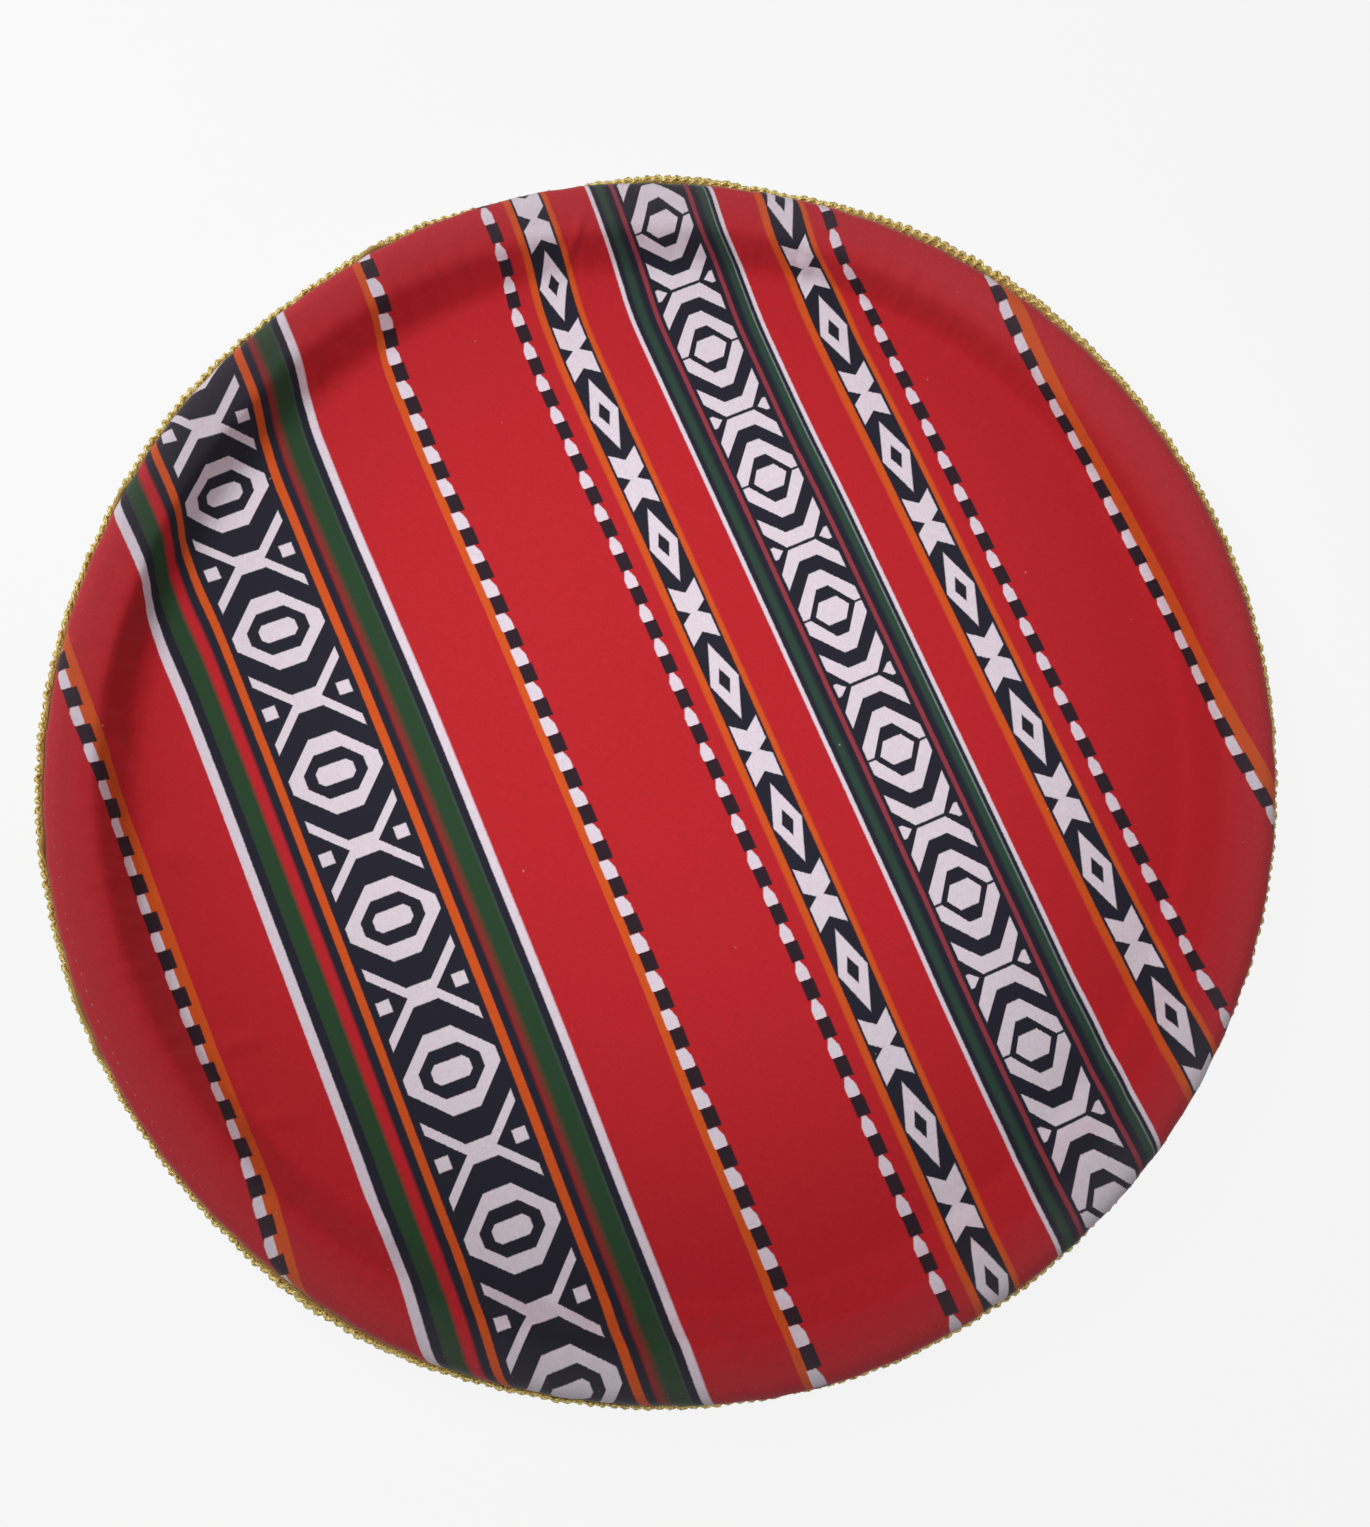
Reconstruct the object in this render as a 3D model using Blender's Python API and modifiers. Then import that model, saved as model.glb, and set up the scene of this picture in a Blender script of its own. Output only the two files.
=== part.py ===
"""Round serving tray covered with a printed cloth, lined below and edged with gold braid.

Metres, +Z up. The origin is the centre of the underside that the tray rests on.
Every piece is turned about +Z, so a piece is a profile of (radius, height) points.
"""
import math

import bpy
from mathutils import Vector

# Sizes of the pressed tray, measured on the upper face of its sheet
RIM_RADIUS = 0.2486
FLANGE_WIDTH = 0.01725
WALL_RISE = 0.0177
WALL_RUN = 0.00835
FLANGE_SLOPE_DEGREES = 25.0
SHEET = 0.0008
FOOT_FILLET = 0.0050
CREST_FILLET = 0.0040
BEAD_RADIUS = 0.0020
BEAD_CURL_DEGREES = 270.0

# Cloths, wadding, braid and thread
COVER = 0.0007
COVER_FOOT_FILLET = 0.0070
COVER_CREST_FILLET = 0.0045
COVER_WRAP_END_DEGREES = -15.0
UNDER_CLOTH = 0.0007
UNDER_CLOTH_EDGE_CLEARANCE = 0.0005
FLOOR_WADDING = 0.0020
FLOOR_WADDING_EDGE_CLEARANCE = 0.0040
RIM_WADDING = 0.0010
RIM_WADDING_CREST_CLEARANCE = 0.0030
BRAID_THICKNESS = 0.0028
BRAID_HEIGHT = 0.0080
BRAID_RISE = 0.0012
BRAID_ROUNDING = 0.0007
HEM_INSET = 0.0053
HEM_MARGIN = 0.0008
THREAD_RADIUS = 0.00025

# Gap between two pieces that touch on the real tray
GAP = 0.0003

# Fineness of the turned meshes
TURN_STEPS = 64
FILLET_STEPS = 3
CURL_STEPS = 7
WRAP_STEPS = 4
BRAID_CORNER_STEPS = 2
THREAD_SIDES = 6
SHARP_DEGREES = 40.0
AXIS_MERGE = 0.00001

FLANGE_SLOPE = math.radians(FLANGE_SLOPE_DEGREES)
FLOOR_RADIUS = RIM_RADIUS - FLANGE_WIDTH - WALL_RUN
SHEET_FLOOR_TOP = UNDER_CLOTH + GAP + SHEET
FLANGE_COVER_SHIFT = GAP + RIM_WADDING + GAP
FLOOR_COVER_SHIFT = GAP + FLOOR_WADDING + GAP


def clear_scene():
    for old in list(bpy.data.objects):
        bpy.data.objects.remove(old, do_unlink=True)


# Straight lines of the section: a point and a unit direction that runs outwards

def shifted(line, distance):
    """The parallel line at a distance above the given one."""
    point, direction = line
    normal = Vector((-direction.y, direction.x))
    return point + normal * distance, direction


def crossing(line_a, line_b):
    """The point where two lines of the section meet."""
    point_a, direction_a = line_a
    point_b, direction_b = line_b
    apart = point_b - point_a
    turn = direction_a.x * direction_b.y - direction_a.y * direction_b.x
    along = (apart.x * direction_b.y - apart.y * direction_b.x) / turn
    return point_a + direction_a * along


def at_radius(line, radius):
    """The point of a line at a given radius from the tray's axis."""
    point, direction = line
    return point + direction * ((radius - point.x) / direction.x)


def pressed_lines():
    """Floor, wall and flange lines on the upper face of the pressed sheet."""
    foot = Vector((FLOOR_RADIUS, SHEET_FLOOR_TOP))
    wall_direction = Vector((WALL_RUN, WALL_RISE))
    crest = foot + wall_direction
    flange_direction = Vector((math.cos(FLANGE_SLOPE), math.sin(FLANGE_SLOPE)))
    floor = (foot, Vector((1.0, 0.0)))
    wall = (foot, wall_direction.normalized())
    flange = (crest, flange_direction)
    return floor, wall, flange


FLOOR, WALL, FLANGE = pressed_lines()
CREST = crossing(WALL, FLANGE)
BEAD_CENTRE = at_radius(shifted(FLANGE, -BEAD_RADIUS), RIM_RADIUS - BEAD_RADIUS)
BRAID_INNER_RADIUS = RIM_RADIUS + GAP + COVER + GAP
HEM_RADIUS = BRAID_INNER_RADIUS - HEM_INSET


def arc(centre, radius, start, end, steps):
    """Points on an arc from one angle to another, both ends included."""
    points = []
    for step in range(steps + 1):
        angle = start + (end - start) * step / steps
        points.append(centre + Vector((math.cos(angle), math.sin(angle))) * radius)
    return points


def fillet(before, corner, after, radius, steps=FILLET_STEPS):
    """Points that round a corner between two straight runs."""
    towards_before = (before - corner).normalized()
    towards_after = (after - corner).normalized()
    half_angle = towards_before.angle(towards_after) / 2
    middle = (towards_before + towards_after).normalized()
    centre = corner + middle * (radius / math.sin(half_angle))
    tangent_length = radius / math.tan(half_angle)
    first = corner + towards_before * tangent_length - centre
    last = corner + towards_after * tangent_length - centre
    start = math.atan2(first.y, first.x)
    sweep = math.remainder(math.atan2(last.y, last.x) - start, math.tau)
    return arc(centre, radius, start, start + sweep, steps)


def layer_path(shifts, foot_fillet, crest_fillet, end_radius):
    """One face of a sheet that follows the tray, from the axis out to a radius.

    The shifts are its distances above the pressed sheet on the floor, wall and flange.
    """
    floor, wall, flange = (shifted(line, shift) for line, shift in zip((FLOOR, WALL, FLANGE), shifts))
    middle = at_radius(floor, 0.0)
    foot = crossing(floor, wall)
    crest = crossing(wall, flange)
    end = at_radius(flange, end_radius)
    path = [middle]
    path += fillet(middle, foot, crest, foot_fillet)
    path += fillet(foot, crest, end, crest_fillet)
    path.append(end)
    return path


def even_layer(shift, end_radius):
    """A face at one distance from the pressed sheet, with its rounded corners concentric."""
    return layer_path((shift, shift, shift), FOOT_FILLET - shift, CREST_FILLET + shift, end_radius)


def paint(name, colour, roughness, metallic=0.0):
    """The plain material of one piece."""
    material = bpy.data.materials.new(name)
    material.use_nodes = True
    shader = material.node_tree.nodes["Principled BSDF"]
    shader.inputs["Base Color"].default_value = (*colour, 1.0)
    shader.inputs["Roughness"].default_value = roughness
    shader.inputs["Metallic"].default_value = metallic
    return material


def turned(name, profile, material, closed):
    """Turn a profile about +Z. An open profile starts and ends on the axis."""
    vertices = [(point.x, 0.0, point.y) for point in profile]
    edges = [(index, index + 1) for index in range(len(profile) - 1)]
    if closed:
        edges.append((len(profile) - 1, 0))
    outline = bpy.data.meshes.new(name)
    outline.from_pydata(vertices, edges, [])
    piece = bpy.data.objects.new(name, outline)
    tray.objects.link(piece)
    screw = piece.modifiers.new("Turn", "SCREW")
    screw.steps = TURN_STEPS
    screw.render_steps = TURN_STEPS
    screw.use_merge_vertices = True
    screw.merge_threshold = AXIS_MERGE
    evaluated = piece.evaluated_get(bpy.context.evaluated_depsgraph_get())
    solid = bpy.data.meshes.new_from_object(evaluated)
    piece.modifiers.clear()
    piece.data = solid
    bpy.data.meshes.remove(outline)
    solid.name = name
    solid.shade_smooth()
    solid.set_sharp_from_angle(angle=math.radians(SHARP_DEGREES))
    solid.materials.clear()
    solid.materials.append(material)
    return piece


def make_tray_shell():
    """Pressed sheet with a steep wall and a sloping flange, its edge rolled under into a bead."""
    bead_start = math.pi / 2 + FLANGE_SLOPE
    bead_end = bead_start - math.radians(BEAD_CURL_DEGREES)
    flange_end = at_radius(FLANGE, BEAD_CENTRE.x - BEAD_RADIUS * math.sin(FLANGE_SLOPE)).x
    inner_end = BEAD_CENTRE.x - (BEAD_RADIUS - SHEET) * math.sin(FLANGE_SLOPE)
    upper = even_layer(0.0, flange_end)[:-1]
    upper += arc(BEAD_CENTRE, BEAD_RADIUS, bead_start, bead_end, CURL_STEPS)
    lower = even_layer(-SHEET, inner_end)[:-1]
    lower += arc(BEAD_CENTRE, BEAD_RADIUS - SHEET, bead_start, bead_end, CURL_STEPS)
    enamel = paint("tray_enamel", (0.42, 0.40, 0.37), 0.45, 0.4)
    turned("tray_shell", upper + lower[::-1], enamel, closed=False)


def make_floor_wadding():
    """Thin soft disc between the tray's floor and the cover."""
    radius = FLOOR_RADIUS - FLOOR_WADDING_EDGE_CLEARANCE
    bottom = SHEET_FLOOR_TOP + GAP
    top = bottom + FLOOR_WADDING
    profile = [Vector((0.0, top)), Vector((radius, top)), Vector((radius, bottom)), Vector((0.0, bottom))]
    turned("floor_wadding", profile, paint("floor_felt", (0.75, 0.72, 0.66), 0.95), closed=False)


def make_rim_wadding():
    """Thin soft ring between the tray's flange and the cover."""
    inner = CREST.x + RIM_WADDING_CREST_CLEARANCE
    bottom = shifted(FLANGE, GAP)
    top = shifted(FLANGE, GAP + RIM_WADDING)
    profile = [
        at_radius(top, inner),
        at_radius(top, HEM_RADIUS),
        at_radius(bottom, HEM_RADIUS),
        at_radius(bottom, inner),
    ]
    turned("rim_wadding", profile, paint("rim_felt", (0.75, 0.72, 0.66), 0.95), closed=True)


def cover_face(thickness):
    """A face of the cover: floor, wall, flange, then over the rolled edge."""
    shifts = (FLOOR_COVER_SHIFT + thickness, GAP + thickness, FLANGE_COVER_SHIFT + thickness)
    foot_fillet = COVER_FOOT_FILLET + COVER - thickness
    crest_fillet = COVER_CREST_FILLET + thickness
    path = layer_path(shifts, foot_fillet, crest_fillet, HEM_RADIUS + HEM_MARGIN)
    wrap_radius = BEAD_RADIUS + GAP + thickness
    from_bead = path[-1] - BEAD_CENTRE
    touch = math.atan2(from_bead.y, from_bead.x) - math.acos(wrap_radius / from_bead.length)
    return path + arc(BEAD_CENTRE, wrap_radius, touch, math.radians(COVER_WRAP_END_DEGREES), WRAP_STEPS)


def make_sadu_cover():
    """Printed cloth over the whole inside, lapped over the rolled edge under the braid."""
    red_print = paint("sadu_print", (0.50, 0.020, 0.028), 0.85)
    turned("sadu_cover", cover_face(COVER) + cover_face(0.0)[::-1], red_print, closed=False)


def make_under_cloth():
    """Plain cloth glued to the underside, which the tray rests on."""
    end_radius = BEAD_CENTRE.x - BEAD_RADIUS - GAP - UNDER_CLOTH_EDGE_CLEARANCE
    upper = even_layer(-SHEET - GAP, end_radius)
    lower = even_layer(-SHEET - GAP - UNDER_CLOTH, end_radius)
    lining = paint("lining_cloth", (0.16, 0.012, 0.018), 0.9)
    turned("under_cloth", upper + lower[::-1], lining, closed=False)


def make_gold_braid():
    """Looped gimp glued round the rolled edge, as the plain band that its loops fill."""
    top = BEAD_CENTRE.y + BRAID_RISE
    bottom = top - BRAID_HEIGHT
    inner = BRAID_INNER_RADIUS
    outer = inner + BRAID_THICKNESS
    corners = [Vector((inner, top)), Vector((outer, top)), Vector((outer, bottom)), Vector((inner, bottom))]
    profile = []
    for index, corner in enumerate(corners):
        before = corners[index - 1]
        after = corners[(index + 1) % len(corners)]
        profile += fillet(before, corner, after, BRAID_ROUNDING, BRAID_CORNER_STEPS)
    turned("gold_braid", profile, paint("gold_yarn", (0.60, 0.42, 0.06), 0.4, 0.8), closed=True)


def make_hem_thread():
    """Sewing thread of the hem, just inside the edge, as a plain ring on the cover."""
    seat = shifted(FLANGE, FLANGE_COVER_SHIFT + COVER + GAP + THREAD_RADIUS)
    centre = at_radius(seat, HEM_RADIUS)
    profile = arc(centre, THREAD_RADIUS, math.tau, 0.0, THREAD_SIDES)[:-1]
    turned("hem_thread", profile, paint("sewing_thread", (0.72, 0.36, 0.38), 0.7), closed=True)


clear_scene()
tray = bpy.data.collections.new("decorative_tray")
bpy.context.scene.collection.children.link(tray)
make_tray_shell()
make_floor_wadding()
make_rim_wadding()
make_sadu_cover()
make_under_cloth()
make_gold_braid()
make_hem_thread()
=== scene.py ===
import math

import bpy
import numpy as np
from mathutils import Matrix, Vector


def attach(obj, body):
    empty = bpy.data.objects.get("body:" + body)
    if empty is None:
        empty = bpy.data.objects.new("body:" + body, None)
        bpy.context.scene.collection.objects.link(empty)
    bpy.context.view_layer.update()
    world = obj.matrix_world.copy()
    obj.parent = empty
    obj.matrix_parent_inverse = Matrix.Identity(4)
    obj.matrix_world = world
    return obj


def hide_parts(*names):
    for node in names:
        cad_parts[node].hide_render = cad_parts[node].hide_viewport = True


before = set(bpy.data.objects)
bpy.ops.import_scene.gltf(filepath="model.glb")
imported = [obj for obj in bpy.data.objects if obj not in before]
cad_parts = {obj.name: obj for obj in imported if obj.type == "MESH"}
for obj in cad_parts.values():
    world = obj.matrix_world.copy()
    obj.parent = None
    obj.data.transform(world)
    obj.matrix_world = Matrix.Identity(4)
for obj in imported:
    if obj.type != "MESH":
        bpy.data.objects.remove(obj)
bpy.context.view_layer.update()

# Camera. It looks nearly straight down from half a metre above the tray, a little in
# front of its middle, tipped nine degrees and turned by one.
TIP = 0.151164
TURN = -0.016832
CAMERA_PLACE = (0.01087, -0.07625, 0.46787)
backwards = Vector((0.0, -math.sin(TIP), math.cos(TIP)))
upwards = Vector((0.0, math.cos(TIP), math.sin(TIP)))
rightwards = Vector((1.0, 0.0, 0.0))
frame_right = rightwards * math.cos(TURN) + upwards * math.sin(TURN)
frame_up = upwards * math.cos(TURN) - rightwards * math.sin(TURN)

lens = bpy.data.cameras.new("overhead_camera")
lens.lens = 26.026
lens.sensor_width = 36.0
lens.clip_start = 0.01
camera = bpy.data.objects.new("overhead_camera", lens)
camera.matrix_world = Matrix.Translation(CAMERA_PLACE) @ Matrix(
    (frame_right, frame_up, backwards)
).transposed().to_4x4()
bpy.context.scene.collection.objects.link(camera)
bpy.context.scene.camera = camera

# Pale table and studio light. A wide soft lamp stands at the upper left, so that the wall
# on that side is in shade. A soft-edged spotlight overhead brightens the middle of the tray.
bpy.context.scene.view_settings.view_transform = "Standard"


def new_finish(name, colour, roughness):
    """A material with one Principled shader. Returns it, its node tree and the shader."""
    finish = bpy.data.materials.new(name)
    finish.use_nodes = True
    tree = finish.node_tree
    shader = tree.nodes["Principled BSDF"]
    shader.inputs["Base Color"].default_value = (*colour, 1.0)
    shader.inputs["Roughness"].default_value = roughness
    return finish, tree, shader


def add_node(tree, kind, **settings):
    node = tree.nodes.new(kind)
    for name, value in settings.items():
        setattr(node, name, value)
    return node


def sum_node(tree, operation, *values, clamped=False):
    """One Math node. Each value is a number or the socket that feeds it."""
    node = add_node(tree, "ShaderNodeMath", operation=operation, use_clamp=clamped)
    for socket, value in zip(node.inputs, values):
        if isinstance(value, (int, float)):
            socket.default_value = value
        else:
            tree.links.new(value, socket)
    return node.outputs[0]


def looked_at(tree):
    """1 for what the eye sees, also by way of metal or glass, and 0 for the light it gives."""
    ray = add_node(tree, "ShaderNodeLightPath")
    total = ray.outputs["Is Camera Ray"]
    for kind in ("Is Glossy Ray", "Is Transmission Ray"):
        total = sum_node(tree, "MAXIMUM", total, ray.outputs[kind])
    return total


bpy.ops.object.select_all(action="DESELECT")
bpy.ops.mesh.primitive_plane_add(size=12.0, location=(0.0, 0.0, -0.0002))
table = bpy.context.object
table.name = "pale_table"
table_finish, table_tree, table_shader = new_finish("pale_table", (0.90, 0.90, 0.90), 0.9)
table_shader.inputs["Specular IOR Level"].default_value = 0.1
paper_white = add_node(table_tree, "ShaderNodeEmission")
paper_white.inputs["Color"].default_value = (0.975, 0.975, 0.975, 1.0)
paper_white.inputs["Strength"].default_value = 1.0
table_mix = add_node(table_tree, "ShaderNodeMixShader")
SEEN_WHITE = 0.90
seen_share = sum_node(table_tree, "MULTIPLY", looked_at(table_tree), SEEN_WHITE)
table_tree.links.new(seen_share, table_mix.inputs[0])
table_tree.links.new(table_shader.outputs[0], table_mix.inputs[1])
table_tree.links.new(paper_white.outputs[0], table_mix.inputs[2])
table_tree.links.new(table_mix.outputs[0], table_tree.nodes["Material Output"].inputs["Surface"])
table.data.materials.append(table_finish)

room = bpy.data.worlds.new("white_room")
room.use_nodes = True
ROOM_LIGHT = 0.215
ROOM_WHITE = 0.92
room_surface = room.node_tree.nodes["Background"]
room_surface.inputs["Color"].default_value = (1.0, 1.0, 1.0, 1.0)
room_level = sum_node(room.node_tree, "MULTIPLY_ADD", looked_at(room.node_tree),
                      ROOM_WHITE - ROOM_LIGHT, ROOM_LIGHT)
room.node_tree.links.new(room_level, room_surface.inputs["Strength"])
bpy.context.scene.world = room

for lamp_name, kind, energy, place in (
    ("window_lamp", "AREA", 2.75, (-0.44, 0.264, 0.60)),
    ("ceiling_spot", "SPOT", 14.4, (0.025, 0.030, 0.90)),
):
    lamp = bpy.data.lights.new(lamp_name, kind)
    lamp.energy = energy
    lamp_stand = bpy.data.objects.new(lamp_name, lamp)
    lamp_stand.location = place
    lamp_stand.visible_camera = False
    if kind == "AREA":
        lamp.shape = "SQUARE"
        lamp.size = 0.5
        lamp_stand.rotation_euler = Vector(place).to_track_quat("Z", "Y").to_euler()
    else:
        lamp.spot_size = math.radians(37.5)
        lamp.spot_blend = 1.0
        lamp.shadow_soft_size = 0.05
    bpy.context.scene.collection.objects.link(lamp_stand)

# Printed cover. One round of thin cotton, printed with stripes and bands in the Sadu
# manner, laid over the pressed tray: flat on the floor, up the steep wall, out over the
# sloping flange, round the rolled edge and turned in below it.
MM = 0.001
AROUND = 800
FLOOR_TOP = 5.1
FOOT = (223.6, 5.1)
CREST = (231.5, 22.1)
SHOULDER = (249.6, 30.55)
BEAD = (246.6, 24.40)
BEAD_COVERED = 3.0
LAP_END = (240.7, 20.6)


def rounded_corner(before, corner, after, radius):
    """Points a tenth of a millimetre apart that round one corner of a section."""
    corner = Vector(corner)
    back_way = (Vector(before) - corner).normalized()
    on_way = (Vector(after) - corner).normalized()
    half = back_way.angle(on_way) / 2
    centre = corner + (back_way + on_way).normalized() * (radius / math.sin(half))
    first = corner + back_way * (radius / math.tan(half)) - centre
    turn = math.remainder(
        math.atan2(*reversed(corner + on_way * (radius / math.tan(half)) - centre))
        - math.atan2(first.y, first.x), math.tau)
    steps = max(4, int(abs(turn) * radius / 0.1))
    start = math.atan2(first.y, first.x)
    angles = [start + turn * i / steps for i in range(steps + 1)]
    return [centre + Vector((math.cos(a), math.sin(a))) * radius for a in angles]


def around_bead(start, end):
    """Points on the covered rolled edge between two angles in degrees."""
    steps = int(abs(end - start) * 0.5)
    angles = [math.radians(start + (end - start) * i / steps) for i in range(steps + 1)]
    return [Vector(BEAD) + Vector((math.cos(a), math.sin(a))) * BEAD_COVERED for a in angles]


class Section:
    """The line of a turned sheet, read by the length along it from the middle."""

    def __init__(self, points):
        self.points = np.array([tuple(point) for point in points])
        steps = np.hypot(*np.diff(self.points, axis=0).T)
        self.lengths = np.concatenate(([0.0], np.cumsum(steps)))

    def radius(self, length):
        return np.interp(length, self.lengths, self.points[:, 0])

    def height(self, length):
        return np.interp(length, self.lengths, self.points[:, 1])

    def length_at(self, radius, above=0.0):
        """The first length at which the line is at a radius and above a height."""
        found = (self.points[:, 0] >= radius) & (self.points[:, 1] >= above)
        return self.lengths[np.argmax(found)]


cover_section = Section(
    [(0.0, FLOOR_TOP)]
    + rounded_corner((0.0, FLOOR_TOP), FOOT, CREST, 8.0)
    + rounded_corner(FOOT, CREST, SHOULDER, 7.5)
    + rounded_corner(CREST, SHOULDER, (249.6, 10.0), 5.0)
    + around_bead(-55.0, -90.0)
    + [LAP_END]
)


def turned_sheet(name, section, lengths, around):
    """A sheet turned round the tray's axis: its section is drawn point by point, then spun."""
    points = [(section.radius(at) * MM, section.height(at) * MM) for at in lengths]
    bpy.ops.object.select_all(action="DESELECT")
    bpy.ops.mesh.primitive_plane_add(size=MM, location=(points[0][0], 0.0, points[0][1]))
    sheet = bpy.context.object
    sheet.name = name
    sheet.data.name = name
    bpy.ops.object.transform_apply(location=True, rotation=False, scale=False)
    bpy.ops.object.mode_set(mode="EDIT")
    bpy.ops.mesh.select_all(action="SELECT")
    bpy.ops.mesh.merge(type="CENTER")
    for here, there in zip(points, points[1:]):
        bpy.ops.mesh.extrude_region_move(
            TRANSFORM_OT_translate={"value": (there[0] - here[0], 0.0, there[1] - here[1])})
    bpy.ops.mesh.select_all(action="SELECT")
    bpy.ops.mesh.spin(steps=around, angle=math.tau, center=(0.0, 0.0, 0.0), axis=(0.0, 0.0, 1.0))
    bpy.ops.mesh.select_all(action="SELECT")
    bpy.ops.mesh.remove_doubles(threshold=0.01 * MM)
    bpy.ops.mesh.normals_make_consistent(inside=False)
    bpy.ops.object.mode_set(mode="OBJECT")
    return sheet


def points_of(piece):
    """The vertices of a piece as an array in millimetres."""
    flat = np.empty(len(piece.data.vertices) * 3)
    piece.data.vertices.foreach_get("co", flat)
    return flat.reshape(-1, 3) / MM


def set_points(piece, points):
    piece.data.vertices.foreach_set("co", (points * MM).ravel())
    piece.data.update()


def lengths_along(points, section, lengths):
    """For each vertex of a turned sheet, the length along the section where it was drawn."""
    drawn = np.stack([section.radius(lengths), section.height(lengths)], axis=1)
    found = np.empty(len(points))
    here = np.stack([np.hypot(points[:, 0], points[:, 1]), points[:, 2]], axis=1)
    for start in range(0, len(points), 4000):
        part = here[start:start + 4000]
        gaps = ((part[:, None, :] - drawn[None, :, :]) ** 2).sum(axis=2)
        found[start:start + 4000] = lengths[np.argmin(gaps, axis=1)]
    return found


def face_towards(piece, wanted):
    """Turn a sheet's faces over if their middle one looks away from the wanted way."""
    total = sum((face.normal * face.area for face in piece.data.polygons), Vector())
    if total.dot(Vector(wanted)) < 0.0:
        piece.data.flip_normals()


def give_thickness(piece, thickness):
    """Thicken a sheet behind its faces and smooth it."""
    bpy.ops.object.select_all(action="DESELECT")
    bpy.context.view_layer.objects.active = piece
    piece.select_set(True)
    cloth = piece.modifiers.new("thickness", "SOLIDIFY")
    cloth.thickness = thickness * MM
    cloth.offset = -1.0
    bpy.ops.object.modifier_apply(modifier="thickness")
    bpy.ops.object.shade_smooth()


def bump_round(azimuth, centre, spread):
    """1 at one azimuth, falling smoothly to 0 a few spreads away, all in degrees."""
    away = (azimuth - centre + 180.0) % 360.0 - 180.0
    return np.exp(-((away / spread) ** 2))


def eased(value, low, high):
    """0 below low, 1 above high, smooth between."""
    share = np.clip((value - low) / (high - low), 0.0, 1.0)
    return share * share * (3.0 - 2.0 * share)


def bumps_round(azimuth, bumps):
    """The sum of some bumps, each given by its size, azimuth and spread."""
    return sum(size * bump_round(azimuth, centre, spread) for size, centre, spread in bumps)


# Size in millimetres, azimuth and spread in degrees of each place where the real tray is bent
EDGE_BUMPS = (
    (0.5, 93, 7), (0.6, 110, 5), (0.5, 262, 8), (0.7, 257, 17), (0.55, 253, 42), (1.0, 178, 18),
    (0.9, 15, 18), (0.9, 42, 22), (1.8, 102, 9), (1.2, 117, 8), (1.0, 140, 12), (-0.3, 206, 16),
    (1.2, 247, 9), (3.2, 283, 17), (1.4, 316, 18), (0.6, 345, 14),
)
FOOT_BUMPS = ((-1.6, 108, 22), (1.2, 165, 10), (-1.2, 215, 20), (-2.4, 243, 14), (1.0, 60, 14))
CREST_BUMPS = ((0.7, 93, 22), (-1.8, 160, 16), (-2.8, 207, 26), (-1.0, 242, 14), (-0.6, 20, 20),
               (-0.8, 60, 14))
NEAR_DROOPS = ((2.8, 280, 42), (1.8, 257, 17))
LEFT_DROOPS = ((1.8, 178, 18),)


def near_edge(radius):
    """0 on the flange and 1 at the rolled edge."""
    return eased(radius, 238.0, 248.0)


def edge_stands_out(azimuth):
    """How far the covered edge stands out beyond its true circle, in millimetres."""
    uneven = 0.12 * np.sin(np.radians(61 * azimuth)) + 0.10 * np.sin(np.radians(97 * azimuth + 40))
    return 0.5 + uneven + bumps_round(azimuth, EDGE_BUMPS)


def wall_leans(azimuth, radius):
    """How far the pressed wall stands out from its true circle at its foot and its crest."""
    near_foot = eased(radius, 206.0, 223.0) * (1.0 - eased(radius, 224.0, 233.0))
    near_crest = eased(radius, 223.0, 232.0) * (1.0 - eased(radius, 235.0, 247.0))
    return (bumps_round(azimuth, FOOT_BUMPS) * near_foot
            + bumps_round(azimuth, CREST_BUMPS) * near_crest)


def rim_droops(azimuth, radius):
    """How far the flange has been bent down towards its edge, most on the near side."""
    on_flange = np.clip((radius - 232.0) / 17.0, 0.0, None)
    return (bumps_round(azimuth, NEAR_DROOPS) * on_flange ** 2
            + bumps_round(azimuth, LEFT_DROOPS) * on_flange)


def bent(piece, stands_out=0.0):
    """Give a turned piece the uneven shape of the real tray. Returns its azimuths."""
    points = points_of(piece)
    azimuth = np.degrees(np.arctan2(points[:, 1], points[:, 0])) % 360.0
    radius = np.hypot(points[:, 0], points[:, 1])
    points[:, 2] -= rim_droops(azimuth, radius)
    radius = (radius + wall_leans(azimuth, radius)
              + stands_out * edge_stands_out(azimuth) * near_edge(radius))
    points[:, 0] = radius * np.cos(np.radians(azimuth))
    points[:, 1] = radius * np.sin(np.radians(azimuth))
    set_points(piece, points)
    return azimuth


def fold(azimuth, along, at_azimuth, at_along, lean, half_length, half_width, rise, skew=0.0):
    """Height of one fold in the cloth. It leans from the outward direction by some degrees."""
    out = along - at_along
    round_way = np.radians((azimuth - at_azimuth + 180.0) % 360.0 - 180.0) * at_along
    turn = math.radians(lean)
    with_fold = out * math.cos(turn) + round_way * math.sin(turn)
    over_fold = (round_way * math.cos(turn) - out * math.sin(turn)) / half_width
    return rise * (1.0 + skew * over_fold) * np.exp(-(with_fold / half_length) ** 2 - over_fold ** 2)


PUCKERED = ((0.13, 62, 18), (0.16, 116, 16), (0.12, 165, 14), (0.05, 205, 20))


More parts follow.
